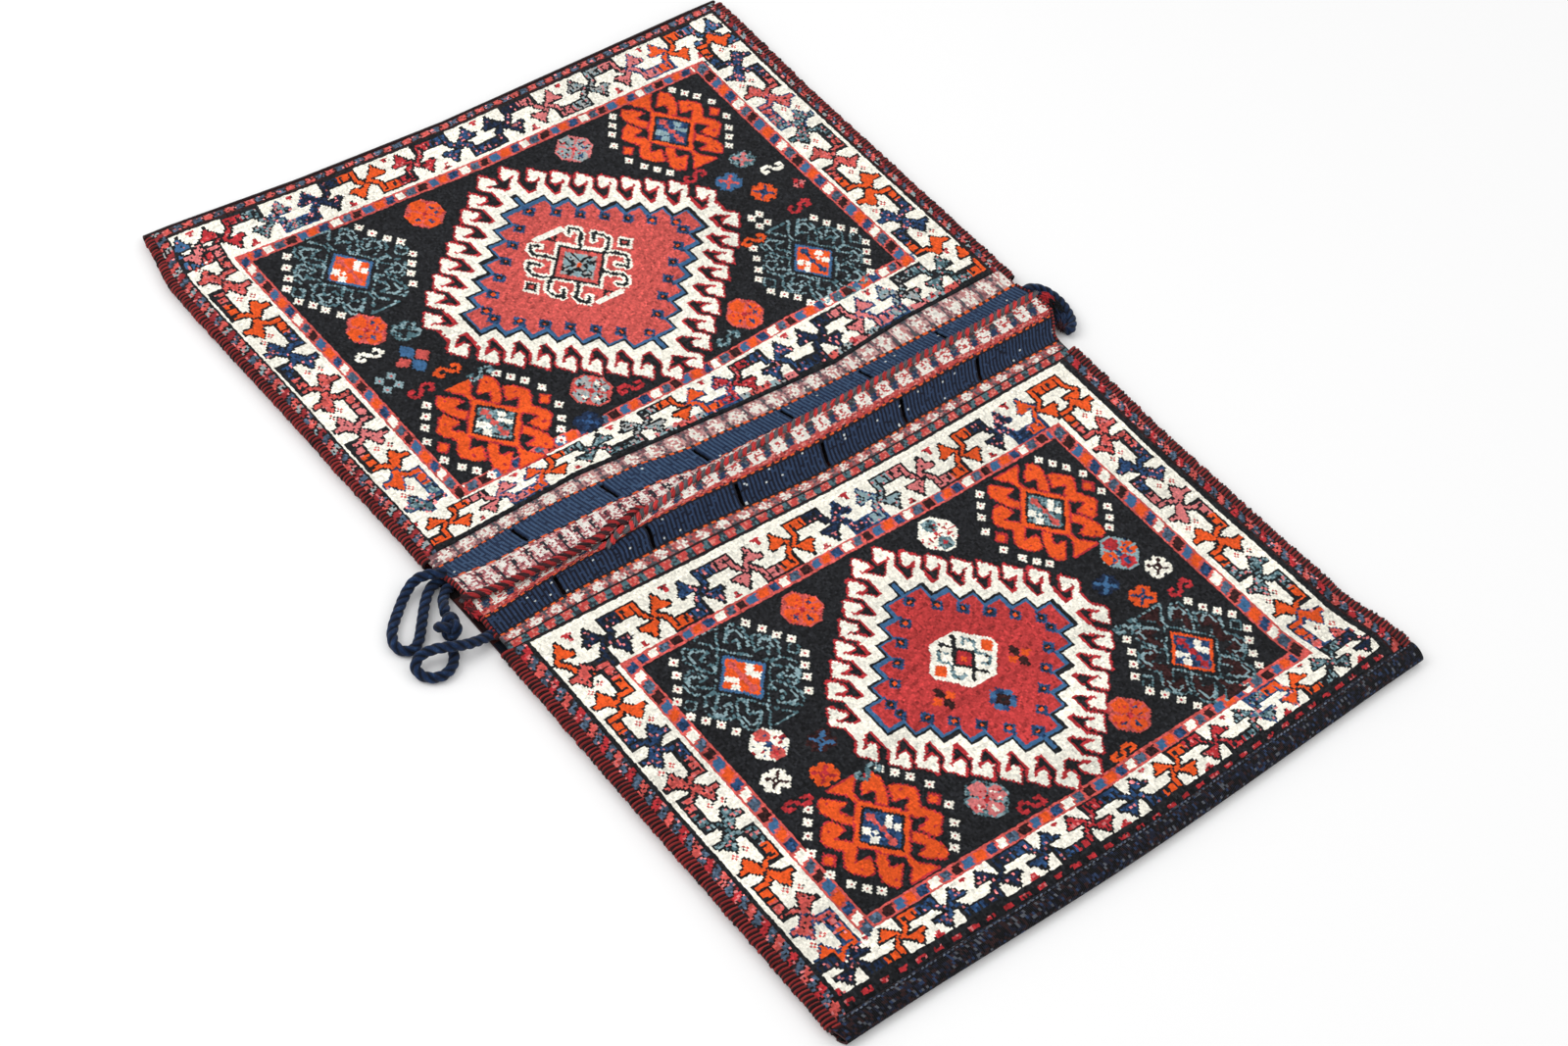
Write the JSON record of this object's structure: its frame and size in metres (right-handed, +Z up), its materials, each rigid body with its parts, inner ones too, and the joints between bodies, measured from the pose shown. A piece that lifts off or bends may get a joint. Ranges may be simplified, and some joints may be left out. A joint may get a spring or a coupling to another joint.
{
  "type": "kilim saddle bag",
  "caption": "Woven double saddle bag laid flat: knotted-pile pouch faces on a flat-woven back, with slit closing flaps and braided corner ropes.",
  "frame": {"origin": "centre of the bag's footprint at the surface it lies on, ropes left out", "axes": "+X across the bag from left to right, +Y along it from pouch B to pouch A, +Z up"},
  "size_m": [0.7316, 0.941, 0.0222],
  "materials": {
    "back_wool": "dark plain weave, matt wool",
    "pile_wool": "short knotted wool pile, patterned, matt",
    "binding_wool": "overcast wool in red and dark brown, matt",
    "braid_wool": "plaited wool in red and grey, matt",
    "rope_wool": "braided navy wool rope, matt"
  },
  "bodies": {
    "root": {"kilim_back": "back_wool", "pile_face_a": "pile_wool", "pile_face_b": "pile_wool", "side_binding_a_left": "binding_wool", "side_binding_a_right": "binding_wool", "side_binding_b_left": "binding_wool", "side_binding_b_right": "binding_wool", "mouth_braid_a": "braid_wool", "mouth_braid_b": "braid_wool", "corner_loop_left": "rope_wool", "lacing_strand": "rope_wool", "lacing_tail": "rope_wool", "corner_loop_right": "rope_wool", "lacing_knot": "rope_wool"}
  },
  "joints": []
}
